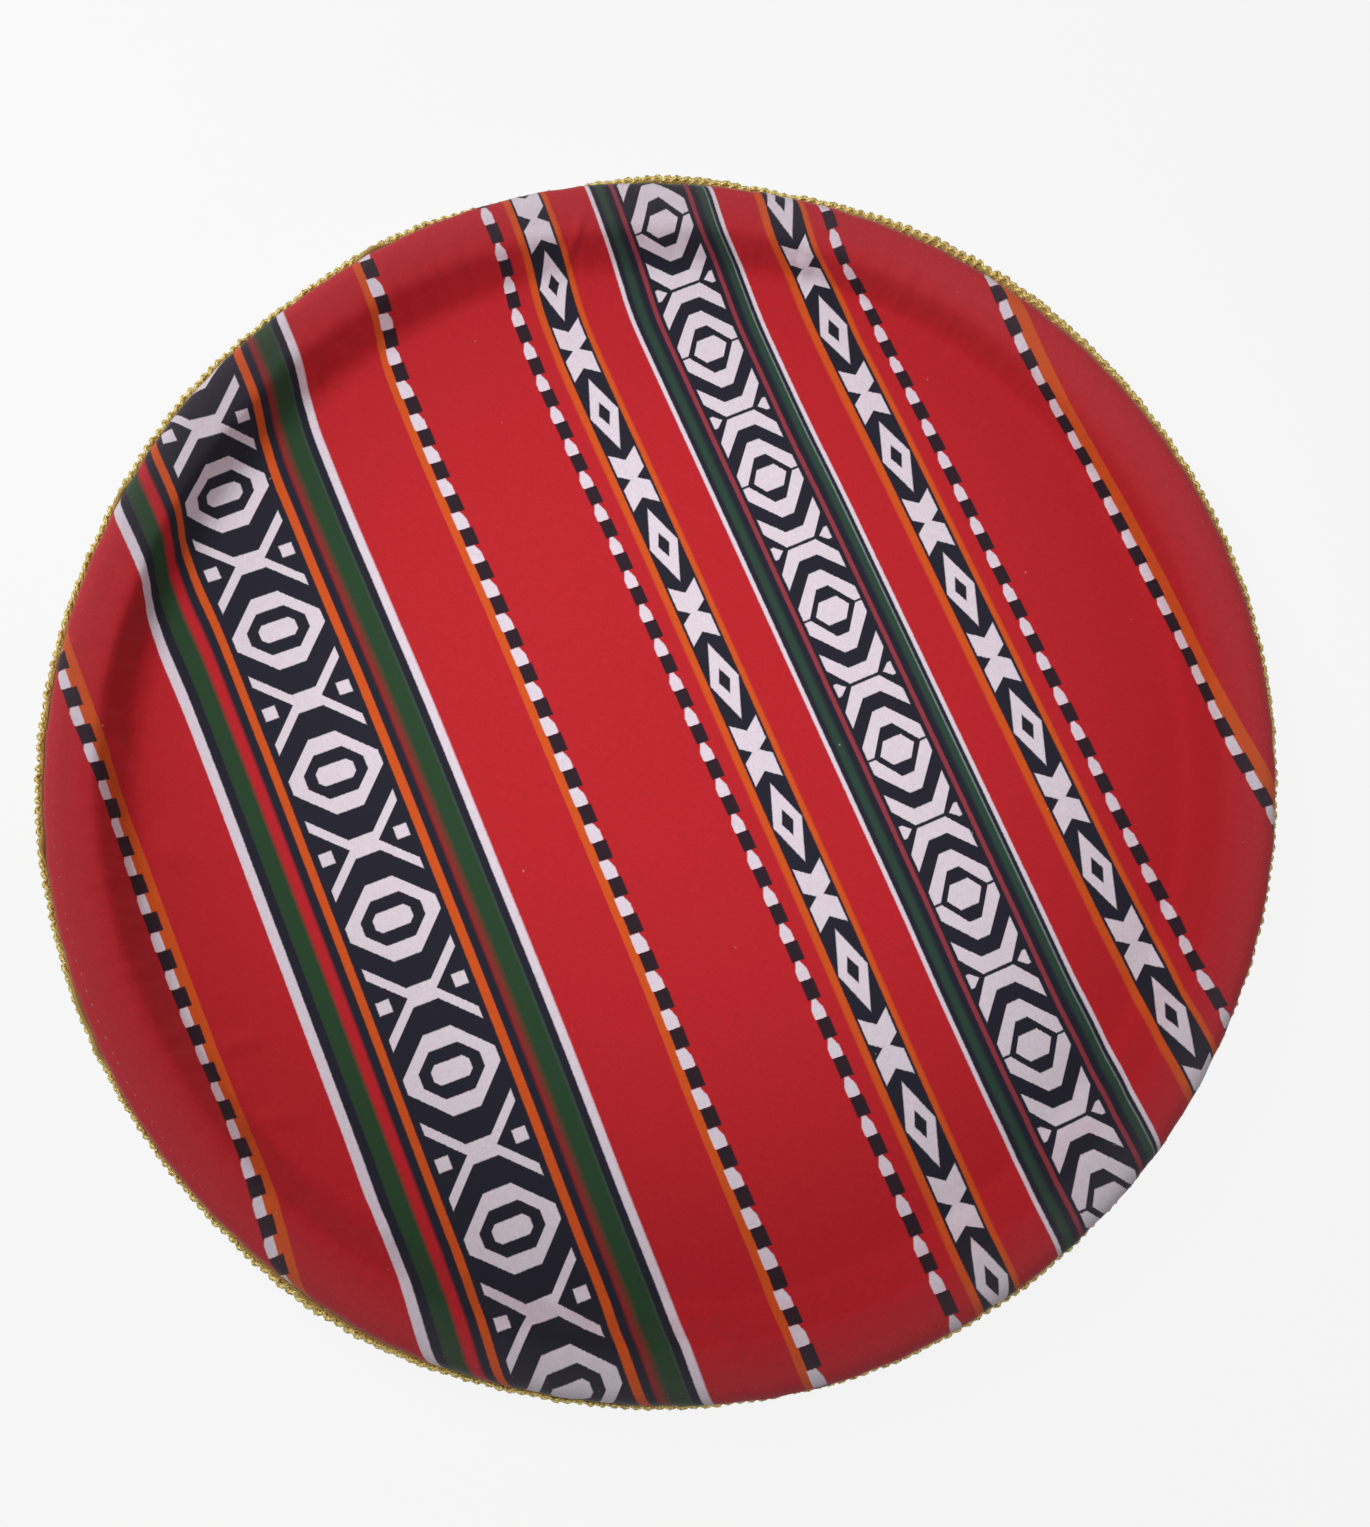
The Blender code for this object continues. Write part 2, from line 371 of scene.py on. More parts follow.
def puckers(azimuth, along):
    """Height of the fine upright puckers where the cloth is gathered on the wall."""
    turn = np.radians(azimuth)
    waves = (np.sin(137 * turn + 2.0 * np.sin(9 * turn))
             + 0.7 * np.sin(89 * turn + 3.0 * np.sin(5 * turn + 1.0))
             + 0.4 * np.sin(211 * turn + 2.0 * np.sin(13 * turn)))
    strength = 0.05 + bumps_round(azimuth, PUCKERED)
    return strength * waves * eased(along, 219.0, 232.0) * (1.0 - eased(along, 242.0, 254.0))


edge_start = cover_section.length_at(249.3, 22.0)
cover_lengths = np.concatenate([
    [0, 30, 60, 80, 95, 110, 125, 140, 155, 168, 180, 188, 195],
    np.arange(198.0, 217.0, 2.5),
    np.arange(218.0, edge_start, 1.4),
    np.linspace(edge_start, cover_section.lengths[-1] - 6.5, 6),
    [cover_section.lengths[-1]],
]).astype(float)
cover = turned_sheet("printed_cover", cover_section, cover_lengths, AROUND)
face_towards(cover, (0, 0, 1))
cover_along = lengths_along(points_of(cover), cover_section, cover_lengths)
cover_azimuth = bent(cover, stands_out=1.0)

# Azimuth, length from the middle, lean, half length, half width, rise and skew of each fold
FOLDS = (
    (98.4, 238.0, -30.0, 10.0, 1.7, 1.3, 0.9),
    (124.0, 229.0, 18.0, 6.0, 1.5, 0.9, 0.8),
    (126.6, 226.0, 12.0, 8.0, 1.6, 1.2, 0.8),
    (131.5, 228.0, -20.0, 6.0, 1.8, 0.9, 0.5),
    (73.1, 233.0, 50.0, 5.0, 2.2, 0.9, 0.5),
    (78.3, 233.0, 0.0, 7.0, 1.8, 0.7, 0.6),
    (80.0, 232.0, -10.0, 6.0, 1.6, 0.4, -0.6),
    (180.5, 222.0, -48.0, 20.0, 6.0, 1.9, 0.3),
    (191.0, 208.0, -52.0, 9.0, 4.5, 1.8, 0.2),
    (214.0, 211.0, -25.0, 10.0, 4.0, 1.3, 0.4),
    (223.5, 215.0, -35.0, 10.0, 3.5, 1.1, 0.3),
    (276.8, 245.0, 50.0, 19.0, 1.8, 0.6, 0.9),
    # Broad lifts, where the cloth spans the corner at the foot of the wall
    (62.0, 220.0, 0.0, 8.0, 45.0, 1.0, 0.0),
    (107.0, 219.0, 0.0, 8.5, 52.0, 1.3, 0.0),
    (172.0, 219.0, 0.0, 9.0, 45.0, 1.1, 0.0),
    (232.0, 218.0, 0.0, 10.0, 48.0, 1.4, 0.0),
    (285.0, 219.0, 0.0, 9.0, 70.0, 0.9, 0.0),
)
cover_rise = puckers(cover_azimuth, cover_along)
for place in FOLDS:
    cover_rise += fold(cover_azimuth, cover_along, *place)
uphill = cover_section.height(cover_along + 0.5) - cover_section.height(cover_along - 0.5)
onward = cover_section.radius(cover_along + 0.5) - cover_section.radius(cover_along - 0.5)
steepness = np.hypot(uphill, onward) + 1e-9
cover_points = points_of(cover)
cover_points[:, 0] -= cover_rise * uphill / steepness * np.cos(np.radians(cover_azimuth))
cover_points[:, 1] -= cover_rise * uphill / steepness * np.sin(np.radians(cover_azimuth))
cover_points[:, 2] += cover_rise * onward / steepness
set_points(cover, cover_points)

# How the damp cloth was pulled as it was glued on. For each pull: its azimuth and spread in
# degrees, the lengths from the middle between which it builds up, how far outwards, how far round
PULLS = (
    (5, 15, 225, 255, -1.4, 0.0), (5, 22, 218, 245, 0.0, -3.2), (47, 27, 195, 255, -5.2, 0.0),
    (92, 24, 212, 250, -4.0, 0.0), (99, 24, 195, 250, 0.0, -5.0), (118, 22, 60, 170, 0.0, 1.2),
    (147, 24, 80, 190, 3.6, 0.0), (147, 24, 212, 250, -4.6, 0.0), (166, 9, 100, 160, 0.0, -1.0),
    (175, 12, 200, 240, 0.0, 1.8), (210, 30, 180, 232, 0.0, 2.8), (210, 30, 80, 180, 0.0, 1.0),
    (245, 12, 90, 180, 0.6, 0.8), (272, 22, 80, 190, 1.7, 0.0), (260, 12, 222, 240, 2.4, 0.0),
    (285, 20, 80, 160, 0.0, -1.6), (318, 22, 225, 243, 1.4, 0.0), (338, 16, 190, 215, 0.0, 0.8),
    (118, 18, 215, 238, 0.0, -1.9), (226, 11, 215, 238, 0.0, 2.3), (355, 14, 225, 250, 0.0, -1.5),
    (128, 14, 235, 255, -1.0, 0.0), (220, 15, 212, 228, -1.0, 0.0), (85, 10, 190, 212, 0.0, -1.0),
    (77, 9, 225, 250, 1.0, 0.0), (248, 12, 235, 255, -1.0, 0.0), (292, 16, 215, 240, 0.0, -0.8),
    (80, 20, 205, 232, 1.1, 0.0), (116, 13, 190, 212, 0.8, 0.0), (116, 13, 225, 240, -0.5, 0.0),
    (157, 13, 195, 215, 1.0, 0.0), (181, 9, 222, 245, 1.3, 0.0), (203, 12, 226, 240, 0.5, 0.0),
    (226, 9, 222, 240, 1.2, 0.0), (257, 10, 200, 215, -0.7, 0.0), (260, 12, 224, 236, 1.1, 0.0),
    (288, 12, 215, 236, 1.4, 0.0), (322, 13, 222, 238, 1.4, 0.0), (322, 13, 246, 258, -0.7, 0.0),
    (352, 14, 205, 236, 1.1, 0.0), (352, 14, 246, 258, -0.6, 0.0), (48, 9, 220, 236, 0.7, 0.0),
    (67, 10, 120, 155, -0.9, 0.0), (67, 10, 205, 225, 0.9, 0.0), (150, 8, 120, 155, -0.7, 0.0),
    (150, 8, 190, 205, 0.7, 0.0), (0, 12, 238, 255, 0.0, -0.7), (23, 12, 196, 222, 0.0, -0.8),
    (23, 12, 228, 248, 0.0, 0.5), (47, 8, 236, 252, 0.0, 0.8), (77, 9, 244, 256, 0.0, -0.7),
    (110, 12, 176, 200, 0.0, -0.9), (133, 12, 205, 225, 0.0, -0.8), (182, 12, 120, 155, 0.0, -0.5),
    (230, 11, 226, 243, 0.0, 0.9), (285, 11, 120, 160, 0.0, 0.5), (285, 11, 205, 225, 0.0, -0.4),
    (322, 11, 120, 160, 0.0, -0.6), (322, 11, 192, 212, 0.0, 0.6), (322, 13, 228, 243, 0.0, -0.7),
)


def flat_lay(azimuth, along):
    """Where each point of the cloth lay before it was put on, in millimetres from its middle.

    The cloth keeps its length over the bent tray, apart from the pulls.
    """
    drawn = np.arange(0.0, cover_section.lengths[-1] + 0.5, 0.5)
    true_radius, height = cover_section.radius(drawn), cover_section.height(drawn)
    column = np.round(azimuth * AROUND / 360.0).astype(int) % AROUND
    length = np.empty(len(along))
    for number in range(AROUND):
        way = number * 360.0 / AROUND
        radius = (true_radius + wall_leans(way, true_radius)
                  + edge_stands_out(way) * near_edge(true_radius))
        level = height - rim_droops(way, true_radius)
        gone = np.concatenate(([0.0], np.cumsum(np.hypot(np.diff(radius), np.diff(level)))))
        here = column == number
        length[here] = np.interp(along[here], drawn, gone)
    outwards, round_way = np.zeros(len(along)), np.zeros(len(along))
    for place, spread, low, high, out, turned in PULLS:
        share = bump_round(azimuth, place, spread) * eased(along, low, high)
        outwards += out * share
        round_way += turned * share
    turn = np.radians(azimuth) - round_way / np.maximum(along, 50.0)
    return (length - outwards) * np.cos(turn), (length - outwards) * np.sin(turn)


STRIPES_ACROSS = (0.92504, 0.37988)
STRIPES_ALONG = (0.37988, -0.92504)
lay_x, lay_y = flat_lay(cover_azimuth, cover_along)
lay_across = lay_x * STRIPES_ACROSS[0] + lay_y * STRIPES_ACROSS[1]
lay_along = lay_x * STRIPES_ALONG[0] + lay_y * STRIPES_ALONG[1]


def map_flat(piece, name, across, along):
    """Give a sheet a UV map that holds its flat lay in metres."""
    corners = np.empty(len(piece.data.loops), dtype=np.int32)
    piece.data.loops.foreach_get("vertex_index", corners)
    flat = piece.data.uv_layers.new(name=name)
    flat.data.foreach_set("uv", (np.stack([across, along], axis=1)[corners] * MM).ravel())


map_flat(cover, "flat_cloth", lay_across, lay_along)
COVER_THICKNESS = 0.7
give_thickness(cover, COVER_THICKNESS)

RED = (0.528, 0.0112, 0.0195)
NAVY = (0.0078, 0.0072, 0.0180)
BLACK = (0.0165, 0.0045, 0.0112)
WHITE = (0.812, 0.708, 0.796)
PALE_LINE = (0.20, 0.25, 0.24)
GREEN = (0.0145, 0.0505, 0.0180)
BLUE_GREEN = (0.0190, 0.0520, 0.0340)
GREY_GREEN = (0.036, 0.062, 0.044)
ORANGE = (0.68, 0.090, 0.0090)
SOFT_RED = (0.31, 0.014, 0.018)
THIN_RED = (0.29, 0.036, 0.052)

# Left edge of each stripe in millimetres across the flat cloth, and its colour
STRIPES = (
    (-220.3, ORANGE), (-215.0, RED),
    (-179.5, WHITE), (-175.25, NAVY), (-171.25, GREEN), (-163.7, RED), (-159.1, NAVY),
    (-155.15, ORANGE), (-151.75, NAVY), (-107.1, ORANGE), (-103.3, NAVY), (-99.5, SOFT_RED),
    (-96.9, GREEN), (-88.3, GREY_GREEN), (-87.3, NAVY), (-84.0, WHITE), (-80.4, RED),
    (-45.0, ORANGE), (-40.9, RED),
    (27.2, ORANGE), (30.35, NAVY), (44.95, ORANGE), (47.3, RED),
    (65.4, WHITE), (67.15, NAVY), (69.5, BLUE_GREEN), (73.0, NAVY), (76.05, THIN_RED), (78.0, NAVY),
    (108.4, THIN_RED), (110.3, NAVY), (113.4, BLUE_GREEN), (116.5, PALE_LINE), (117.1, NAVY),
    (118.75, WHITE), (120.45, RED),
    (137.4, ORANGE), (140.8, NAVY), (155.65, ORANGE), (158.0, RED),
    (227.8, ORANGE), (233.6, RED),
)
# How softly some of those edges are printed, in millimetres
SOFT_EDGES = {-163.7: 2.2, -159.1: 1.5, -99.5: 1.5, -96.9: 4.6, -80.4: 0.9, 27.2: 1.2, 47.3: 1.2,
              69.5: 1.4, 73.0: 2.0, 113.4: 1.8, 137.4: 1.2, 158.0: 1.2}
USUAL_SOFTNESS = 0.6
MOTIF_PITCH = 66.285

cover_finish, print_tree, cover_shader = new_finish("sadu_print", RED, 0.78)
cover.data.materials.append(cover_finish)


def mixed(tree, share, first, second):
    """Mix two colours, each a colour or the socket that feeds it."""
    node = add_node(tree, "ShaderNodeMix", data_type="RGBA")
    for index, value in ((0, share), (6, first), (7, second)):
        if isinstance(value, (int, float)):
            node.inputs[index].default_value = value
        elif isinstance(value, tuple):
            node.inputs[index].default_value = (*value, 1.0)
        else:
            tree.links.new(value, node.inputs[index])
    return node.outputs[2]


def noise_in(tree, place, scale, detail=2.0, **settings):
    """The value of a noise texture that is read at a place, given as a socket."""
    node = add_node(tree, "ShaderNodeTexNoise", **settings)
    node.inputs["Scale"].default_value = scale
    node.inputs["Detail"].default_value = detail
    tree.links.new(place, node.inputs["Vector"])
    return node.outputs[0]


def stretched_place(tree, place, scale):
    node = add_node(tree, "ShaderNodeMapping")
    node.inputs["Scale"].default_value = scale
    tree.links.new(place, node.inputs["Vector"])
    return node.outputs[0]


def object_place(tree):
    return add_node(tree, "ShaderNodeTexCoord").outputs["Object"]


def relief_from(tree, height, strength, distance, over=None):
    """The normal of a relief. It can lie over another one."""
    node = add_node(tree, "ShaderNodeBump")
    node.inputs["Strength"].default_value = strength
    node.inputs["Distance"].default_value = distance
    tree.links.new(height, node.inputs["Height"])
    if over is not None:
        tree.links.new(over, node.inputs["Normal"])
    return node.outputs[0]


def in_print(operation, *values, clamped=False):
    return sum_node(print_tree, operation, *values, clamped=clamped)


def plus(a, b):
    return in_print("ADD", a, b)


def minus(a, b):
    return in_print("SUBTRACT", a, b)


def times(a, b):
    return in_print("MULTIPLY", a, b)


def scaled_plus(a, factor, b, clamped=False):
    return in_print("MULTIPLY_ADD", a, factor, b, clamped=clamped)


def least(first, *others):
    for other in others:
        first = in_print("MINIMUM", first, other)
    return first


def most(first, *others):
    for other in others:
        first = in_print("MAXIMUM", first, other)
    return first


def dyed(inside, softness=0.5):
    """How fully the dye covers, from the signed distance inside a shape."""
    return scaled_plus(inside, 1.0 / softness, 0.5, clamped=True)


lay = add_node(print_tree, "ShaderNodeUVMap", uv_map="flat_cloth")
lay_parts = add_node(print_tree, "ShaderNodeSeparateXYZ")
print_tree.links.new(lay.outputs[0], lay_parts.inputs[0])

# Dye creeps a little along the threads, so no printed edge is quite straight
creep = minus(noise_in(print_tree, lay.outputs[0], 900.0, 1.0, noise_dimensions="2D"), 0.5)
CREEP = 0.35
across = scaled_plus(lay_parts.outputs[0], 1 / MM, times(creep, CREEP))
along = scaled_plus(lay_parts.outputs[1], 1 / MM, times(creep, -CREEP))

dye = RED
for left_edge, colour in STRIPES:
    softness = SOFT_EDGES.get(left_edge, USUAL_SOFTNESS)
    dye = mixed(print_tree, dyed(minus(across, left_edge), softness), dye, colour)


def from_middle(middle):
    return in_print("ABSOLUTE", minus(across, middle))


def repeats(phase, skew=0.0, middle=0.0):
    """Distance along the stripe to the nearest motif middle, and to the nearest half-way."""
    place = along
    if skew:
        place = minus(place, times(minus(across, middle), skew))
    near = in_print("PINGPONG", minus(place, phase), MOTIF_PITCH / 2)
    return near, minus(MOTIF_PITCH / 2, near)


# Wide band: white rings and crosses on navy, with a small square at each side of a cross
WIDE_MIDDLE = -129.34
WIDE_PHASE = -111.774
WIDE_SKEW = 0.05
x = from_middle(WIDE_MIDDLE)
y, y_between = repeats(WIDE_PHASE, WIDE_SKEW, WIDE_MIDDLE)


def cut_corners(half_width, half_height, corner):
    """Distance inside an upright box whose corners are cut where x and y add up to a sum."""
    return least(minus(half_width, x), minus(half_height, y), minus(corner, plus(x, y)))


ring = least(cut_corners(19.8, 16.95, 22.9), times(cut_corners(13.2, 9.94, 16.2), -1.0))
pill = cut_corners(8.2, 4.2, 10.2)
cross = least(minus(most(4.2, minus(x, 1.2)), y_between), plus(minus(y_between, x), 6.3),
              minus(19.4, x))
square = least(minus(2.85, in_print("ABSOLUTE", minus(x, 16.5))), minus(2.75, y_between))
white_dye = dyed(most(ring, pill, cross, square))

# Two narrow bands of diamonds and crosses
LEFT_MIDDLE, LEFT_PHASE = 37.65, -149.4
RIGHT_MIDDLE, RIGHT_PHASE = 148.15, -146.2
BETWEEN_BANDS = 93.0
NARROW_HALF = 7.15
is_right = in_print("GREATER_THAN", across, BETWEEN_BANDS)
x = from_middle(scaled_plus(is_right, RIGHT_MIDDLE - LEFT_MIDDLE, LEFT_MIDDLE))
y, y_between = repeats(scaled_plus(is_right, RIGHT_PHASE - LEFT_PHASE, LEFT_PHASE))
diamond_outside = minus(scaled_plus(x, -1 / 6.5, 1.0), times(y, 1 / 18.0))
diamond_inside = minus(scaled_plus(x, -1 / 2.65, 1.0), times(y, 1 / 6.0))
diamond = times(least(diamond_outside, times(diamond_inside, -0.45)), 6.0)
wings = least(minus(scaled_plus(x, 0.78, y), 23.8), minus(y_between, scaled_plus(x, 0.75, -1.15)),
              minus(6.2, x))
white_dye = most(white_dye, times(dyed(most(diamond, wings)), dyed(minus(NARROW_HALF, x))))

# Middle band: nested hexagons
HEXAGONS_MIDDLE = 93.02
HEXAGONS_PHASE = -93.05
HEXAGONS_HALF = 13.45
x = from_middle(HEXAGONS_MIDDLE)
y, y_between = repeats(HEXAGONS_PHASE)


def below_slope(slope, height):
    """Distance below a slanting side that starts at a height in the middle of the band."""
    return minus(scaled_plus(x, slope, height), y)


core = least(minus(5.5, y), below_slope(-1.47, 11.5))
core_surround = least(minus(11.35, y), below_slope(-1.39, 15.15))
ring = least(minus(19.0, y), below_slope(-1.2, 22.4))
ring_surround = least(minus(25.9, y), below_slope(-1.12, 30.6))
frame_shape = least(minus(y_between, 0.75), below_slope(-1.3, 40.8))
dot = least(minus(2.9, y_between), minus(scaled_plus(x, 0.9, 4.6 - 0.9 * 13.82), y_between))
ring_gaps = times(most(core_surround, minus(0.55, y)), -1.0)
hexagons = most(core, least(ring, ring_gaps), least(frame_shape, times(ring_surround, -1.0)), dot)
white_dye = most(white_dye, times(dyed(hexagons), dyed(minus(HEXAGONS_HALF, x))))

dye = mixed(print_tree, white_dye, dye, WHITE)

# Lines of dashes: black start along the cloth, middle and half width of white and of black,
# and which side of the white dash is cut straight (0 neither, 1 right, -1 left)
DASHES = (
    (-73.3, -222.2, 2.0, -221.2, 2.9, 1), (-74.0, -39.05, 2.75, -38.4, 3.0, -1),
    (-70.5, 18.0, 2.45, 18.54, 2.8, 0), (-66.15, 166.6, 2.25, 167.05, 2.75, 0),
    (-67.9, 225.65, 2.2, 225.9, 2.8, 1),
)
DASH_PITCH = MOTIF_PITCH / 4
BLACK_LENGTH = 8.4
for start, white_middle, white_half, black_middle, black_half, straight in DASHES:
    side = minus(across, white_middle)
    place = in_print("WRAP", minus(along, scaled_plus(side, 0.07, start)), DASH_PITCH, 0.0)
    from_black = in_print("ABSOLUTE", minus(place, BLACK_LENGTH / 2))
    black = least(minus(black_half, from_middle(black_middle)), minus(BLACK_LENGTH / 2, from_black))
    off_middle = in_print("ABSOLUTE", side)
    first_half = 1.1 if straight else 0.8
    shoulder = scaled_plus(place, 0.42, first_half - 0.42 * BLACK_LENGTH)
    rounded_end = scaled_plus(place, -0.7, 0.7 * DASH_PITCH + white_half - 0.45)
    wide = minus(least(rounded_end, white_half), off_middle)
    if straight == 0:
        body = least(wide, minus(shoulder, off_middle))
    elif straight == 1:
        body = least(wide, plus(shoulder, side))
    else:
        body = least(wide, minus(shoulder, side))
    white = least(body, minus(place, BLACK_LENGTH))
    dye = mixed(print_tree, dyed(white), mixed(print_tree, dyed(black), dye, BLACK), WHITE)

# Lint: a few pale specks caught on the cloth
lint_cells = add_node(print_tree, "ShaderNodeTexVoronoi", voronoi_dimensions="2D", feature="F1")
lint_cells.inputs["Scale"].default_value = 28.0
print_tree.links.new(lay.outputs[0], lint_cells.inputs["Vector"])
lint_pick = add_node(print_tree, "ShaderNodeSeparateColor")
print_tree.links.new(lint_cells.outputs["Color"], lint_pick.inputs[0])
lint_size = scaled_plus(lint_pick.outputs[0], 0.05, -0.032)
lint = in_print("MULTIPLY", minus(lint_size, lint_cells.outputs["Distance"]), 60.0, clamped=True)
LINT_COLOUR = (0.75, 0.50, 0.42)
dye = mixed(print_tree, times(lint, 0.55), dye, LINT_COLOUR)

# Painted sheen: on the flange the cloth's colour is mixed a little towards a pale greyish pink, for
# the whitish sheen that lies there
from_centre = add_node(print_tree, "ShaderNodeVectorMath", operation="LENGTH")
print_tree.links.new(lay.outputs[0], from_centre.inputs[0])
outwards = from_centre.outputs["Value"]
PAINTED_SHEEN_COLOUR = (0.55, 0.42, 0.48)
painted_sheen_share = scaled_plus(outwards, 60.0, -14.2, clamped=True)
dye = mixed(print_tree, times(painted_sheen_share, 0.048), dye, PAINTED_SHEEN_COLOUR)

# Threads: slightly uneven yarns both ways tint and roughen the cloth
LONGWAYS_YARNS = (260.0, 2600.0, 1.0)
CROSSWAYS_YARNS = (2600.0, 260.0, 1.0)
weave = plus(*(
    noise_in(print_tree, stretched_place(print_tree, lay.outputs[0], scale), 1.0, 1.0,
             noise_dimensions="2D")
    for scale in (LONGWAYS_YARNS, CROSSWAYS_YARNS)))
tint = add_node(print_tree, "ShaderNodeHueSaturation")
print_tree.links.new(dye, tint.inputs["Color"])
print_tree.links.new(scaled_plus(weave, 0.22, 0.78), tint.inputs["Value"])
print_tree.links.new(tint.outputs[0], cover_shader.inputs["Base Color"])

# Fine wrinkles, too narrow for the mesh. They run up the wall and are deeper in some places.
WRINKLES_AROUND = 24.0
WRINKLES_OUTWARDS = 40.0
outward_way = add_node(print_tree, "ShaderNodeVectorMath", operation="NORMALIZE")
print_tree.links.new(lay.outputs[0], outward_way.inputs[0])
way_parts = add_node(print_tree, "ShaderNodeSeparateXYZ")
print_tree.links.new(outward_way.outputs[0], way_parts.inputs[0])
wrinkle_place = add_node(print_tree, "ShaderNodeCombineXYZ")
for part, factor, socket in zip(
    (way_parts.outputs[0], way_parts.outputs[1], outwards),
    (WRINKLES_AROUND, WRINKLES_AROUND, WRINKLES_OUTWARDS),
    wrinkle_place.inputs,
):
    print_tree.links.new(times(part, factor), socket)
gathers = noise_in(print_tree, wrinkle_place.outputs[0], 1.0)
gathered = noise_in(print_tree, wrinkle_place.outputs[0], 0.07, 0.0)
on_wall = least(scaled_plus(outwards, 110.0, -23.6, clamped=True),
                scaled_plus(outwards, -110.0, 27.4, clamped=True),
                scaled_plus(gathered, 5.0, -1.9, clamped=True))
wrinkles = relief_from(print_tree, times(gathers, on_wall), 1.0, 0.0013)
print_tree.links.new(relief_from(print_tree, weave, 0.25, 0.0002, over=wrinkles),
                     cover_shader.inputs["Normal"])
cover_shader.inputs["Specular IOR Level"].default_value = 0.2
cover_shader.inputs["Sheen Weight"].default_value = 0.18
cover_shader.inputs["Sheen Roughness"].default_value = 0.5

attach(cover, "root")
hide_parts("sadu_cover")

# Hem stitches. Short pale stitches just inside the edge, which hold the turned-in hem.
STITCHES = 236
STITCH_SIZE = (0.75, 0.22, 0.16)
HEM_RADIUS = 244.3
FLANGE_SLOPE = 0.4663
hem_along = cover_section.length_at(HEM_RADIUS, 20.0)
bpy.ops.object.select_all(action="DESELECT")
bpy.ops.mesh.primitive_uv_sphere_add(segments=6, ring_count=5, radius=1.0)
stitch = bpy.context.object
bpy.ops.object.mode_set(mode="EDIT")
bpy.ops.mesh.select_all(action="SELECT")
bpy.ops.transform.resize(value=STITCH_SIZE)
bpy.ops.object.mode_set(mode="OBJECT")
stitch_points = points_of(stitch) * MM
stitch_faces = [tuple(face.vertices) for face in stitch.data.polygons]
bpy.data.objects.remove(stitch)

wander = np.random.default_rng(11)
hem_vertices, hem_faces = [], []
for number in range(STITCHES):
    azimuth = 360.0 * (number + 0.18 * wander.uniform(-1, 1)) / STITCHES
    turn = math.radians(azimuth)
    at = hem_along + 0.25 * wander.uniform(-1, 1)
    radius = cover_section.radius(at)
    level = cover_section.height(at) - rim_droops(azimuth, radius)
    radius += edge_stands_out(azimuth) * near_edge(radius) + wall_leans(azimuth, radius)
    loose = 0.35 + 0.55 * bump_round(azimuth, 205, 14)
    lean = 0.2 * wander.uniform(-1, 1)
    uphill_way = np.array([math.cos(turn), math.sin(turn), FLANGE_SLOPE])
    uphill_way /= math.hypot(1.0, FLANGE_SLOPE)
    sideways = np.array([-math.sin(turn), math.cos(turn), 0.0])
    above = np.cross(uphill_way, sideways)
    first_way = sideways * math.cos(lean) + uphill_way * math.sin(lean)
    second_way = uphill_way * math.cos(lean) - sideways * math.sin(lean)
    middle = np.array([radius * math.cos(turn), radius * math.sin(turn), level])
    middle += (0.10 * loose - 0.05) * above
    hem_faces += [tuple(index + len(hem_vertices) * len(stitch_points) for index in face)
                  for face in stitch_faces]
    hem_vertices.append(middle + loose * stitch_points @ np.stack([first_way, second_way, above]))
hem_mesh = bpy.data.meshes.new("hem_stitches")
hem_mesh.from_pydata((np.concatenate(hem_vertices) * MM).tolist(), [], hem_faces)
hem = bpy.data.objects.new("hem_stitches", hem_mesh)
bpy.context.scene.collection.objects.link(hem)
hem_mesh.shade_smooth()
hem_finish, hem_tree, hem_shader = new_finish("sewing_thread", (0.60, 0.26, 0.28), 0.6)
thread_twist = noise_in(hem_tree, object_place(hem_tree), 2500.0)
hem_tree.links.new(mixed(hem_tree, thread_twist, (0.42, 0.12, 0.14), (0.72, 0.38, 0.40)),
                   hem_shader.inputs["Base Color"])
hem_mesh.materials.append(hem_finish)
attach(hem, "root")
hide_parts("hem_thread")

# Gold braid. A metallic gimp: a flat woven tape wrapped by a thick looped cord and crossed
# by a thin one, glued round the outside of the covered edge by hand, so it wanders.
LOOPS = 364
BRAID_HALF_HEIGHT = 2.7
THICK_CORD = 1.22
THIN_CORD = 0.8

# Azimuth and height of the braid's upper edge: it was glued on by hand, lower in places
BRAID_TOPS = (
    (0, 22.4), (10, 23.0), (20, 24.0), (40, 24.7), (50, 25.6), (64, 25.6), (71, 24.4), (77, 23.4),
    (84, 25.0), (89, 26.0), (94, 24.0), (98, 22.2), (103, 22.2), (108, 22.3), (113, 23.6),
    (118, 24.0), (133, 23.6), (143, 24.1), (152, 23.9), (160, 23.8), (174, 24.9), (188, 24.6),
    (195, 23.8), (205, 24.1), (213, 23.2), (224, 23.2), (237, 24.3), (246, 23.4), (256, 22.8),
    (270, 22.3), (276, 21.8), (281, 21.6), (288, 21.9), (303, 22.3), (312, 21.6), (330, 21.6),
    (340, 22.0), (352, 22.2),
)
# Size in millimetres, azimuth and spread in degrees of each stretch of wider or closer loops
LOOP_BUMPS = ((0.9, 57, 17), (0.5, 87, 5), (0.7, 118, 8), (0.6, 145, 14), (0.4, 183, 14),
              (0.5, 238, 8), (-0.25, 265, 42))
# The same for the places where the braid has come away and the tape stands up
TAPE_LIFTS = ((1.0, 119, 1.5), (1.0, 154, 1.2), (1.0, 188.5, 1.0), (1.0, 204, 2.5), (1.0, 208, 1.2))


def braid_top(azimuth):
    places, tops = zip(*BRAID_TOPS)
    return np.interp(azimuth, places, tops, period=360.0)


def loops_open(azimuth):
    """Half the distance that the loops swing in and out: they are opened wider in places."""
    return 0.75 + bumps_round(azimuth, LOOP_BUMPS)


